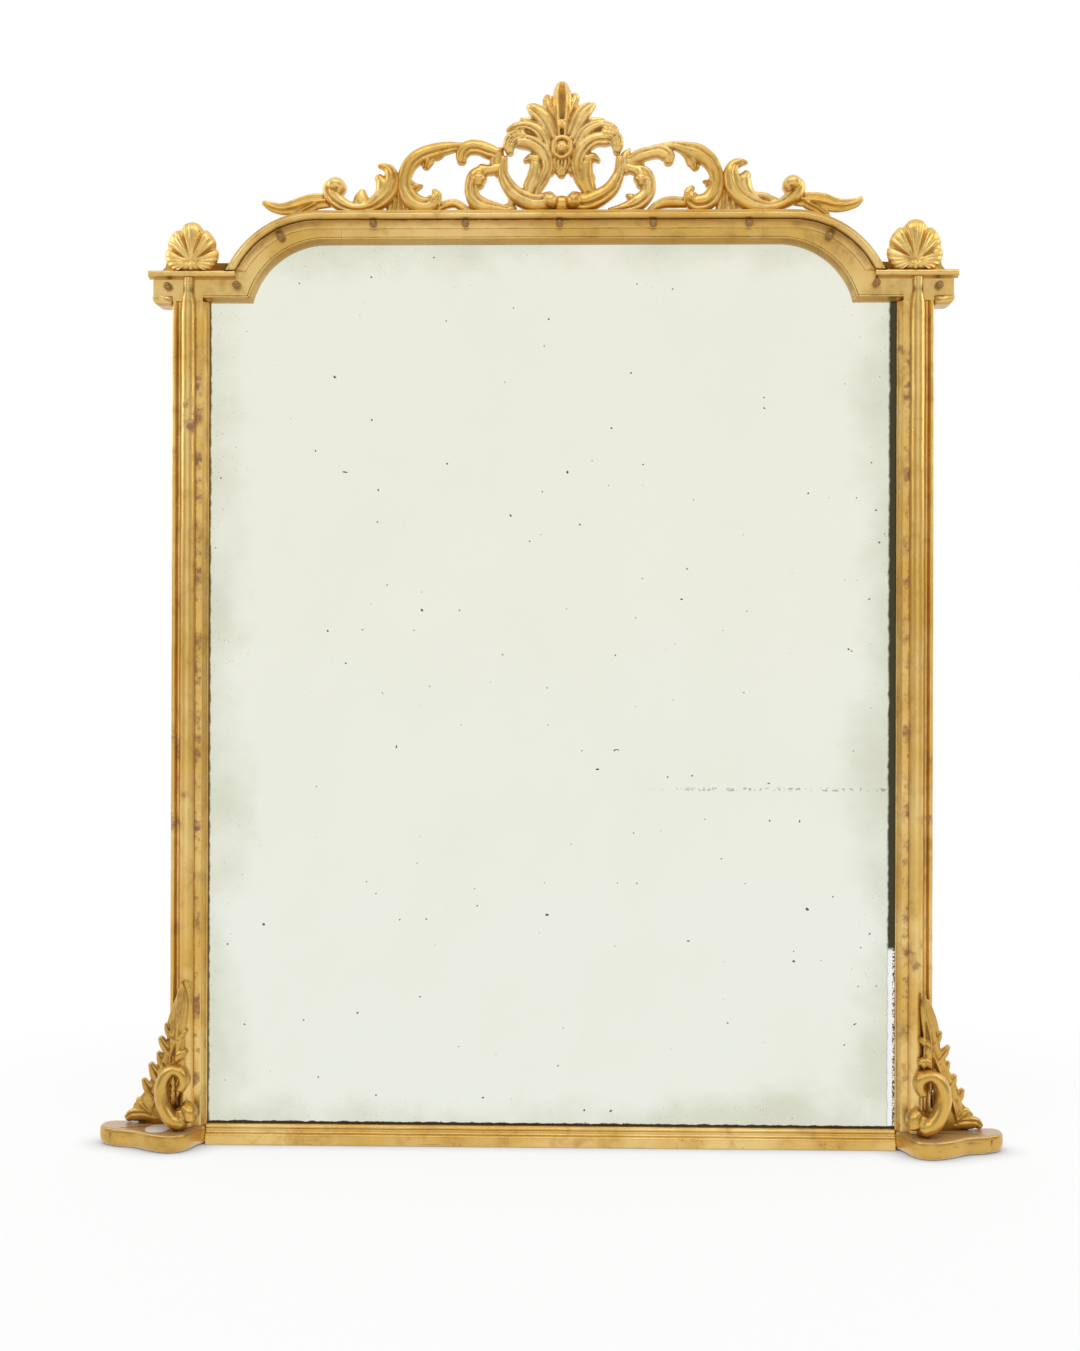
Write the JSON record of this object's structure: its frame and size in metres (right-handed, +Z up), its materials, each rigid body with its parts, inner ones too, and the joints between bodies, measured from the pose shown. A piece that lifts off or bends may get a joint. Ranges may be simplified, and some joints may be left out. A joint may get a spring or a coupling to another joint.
{
  "type": "pier mirror",
  "caption": "Tall arched giltwood pier mirror with a pierced carved crest, corner shells and serpentine shelf feet; it stands on its base.",
  "frame": {"origin": "on the floor under the middle of the base rail", "axes": "+X to the viewer's right, -Y towards the viewer, +Z up"},
  "size_m": [1.5, 0.1298, 1.774],
  "materials": {
    "gilt_moulding": "old gilding over red bole on moulded pine, worn at the edges",
    "gilt_carving": "old gilding over red bole on carved wood, dust in the hollows",
    "gilt_stud": "gilding rubbed down to dark bole",
    "pine": "bare aged pine",
    "silvered_glass": "old silvered plate glass with foxing",
    "iron": "dull wrought iron"
  },
  "bodies": {
    "frame": {"frieze_head": "gilt_moulding", "frieze_shoulder_left": "gilt_moulding", "frieze_shoulder_right": "gilt_moulding", "lip_head": "gilt_moulding", "lip_shoulder_left": "gilt_moulding", "lip_shoulder_right": "gilt_moulding", "lip_ear_left": "gilt_moulding", "lip_ear_right": "gilt_moulding", "sight_head": "gilt_moulding", "sight_shoulder_left": "gilt_moulding", "sight_shoulder_right": "gilt_moulding", "sight_notch_left": "gilt_moulding", "sight_notch_right": "gilt_moulding", "pilaster_left": "gilt_moulding", "pilaster_right": "gilt_moulding", "column_left": "gilt_moulding", "column_right": "gilt_moulding", "ear_ovolo_left": "gilt_moulding", "ear_ovolo_right": "gilt_moulding", "base_rail": "gilt_moulding", "shelf_left": "gilt_moulding", "shelf_right": "gilt_moulding", "shell_plinth_left": "gilt_moulding", "shell_plinth_right": "gilt_moulding", "crest_cartouche": "gilt_carving", "crest_inner_left": "gilt_carving", "crest_inner_right": "gilt_carving", "crest_outer_left": "gilt_carving", "crest_outer_right": "gilt_carving", "corner_shell_left": "gilt_carving", "corner_shell_right": "gilt_carving", "bracket_leaf_left": "gilt_carving", "bracket_leaf_right": "gilt_carving", "bracket_scroll_left": "gilt_carving", "bracket_scroll_right": "gilt_carving", "ball_stud_01": "gilt_stud", "ball_stud_02": "gilt_stud", "ball_stud_03": "gilt_stud", "ball_stud_04": "gilt_stud", "ball_stud_05": "gilt_stud", "ball_stud_06": "gilt_stud", "ball_stud_07": "gilt_stud", "ball_stud_08": "gilt_stud", "ball_stud_09": "gilt_stud", "ball_stud_10": "gilt_stud", "ball_stud_11": "gilt_stud", "stile_left": "pine", "stile_right": "pine", "backboard_1": "pine", "backboard_2": "pine", "backboard_3": "pine", "glass_block_left": "pine", "glass_block_right": "pine", "mirror_plate": "silvered_glass", "hanger_plate_left": "iron", "hanger_plate_right": "iron", "hanger_screw_left": "iron", "hanger_screw_right": "iron"},
    "ring_left": {"hanger_ring_left": "iron"},
    "ring_right": {"hanger_ring_right": "iron"}
  },
  "joints": [
    {"name": "ring_left_swing", "type": "hinge", "parent": "frame", "child": "ring_left", "pos_m": [-0.4955, 0.0276, 1.51064], "axis": [-0.766, 0, -0.6428], "range_deg": [0, 177]},
    {"name": "ring_right_swing", "type": "hinge", "parent": "frame", "child": "ring_right", "pos_m": [0.4955, 0.0276, 1.51064], "axis": [0.766, 0, -0.6428], "range_deg": [0, 177]}
  ]
}
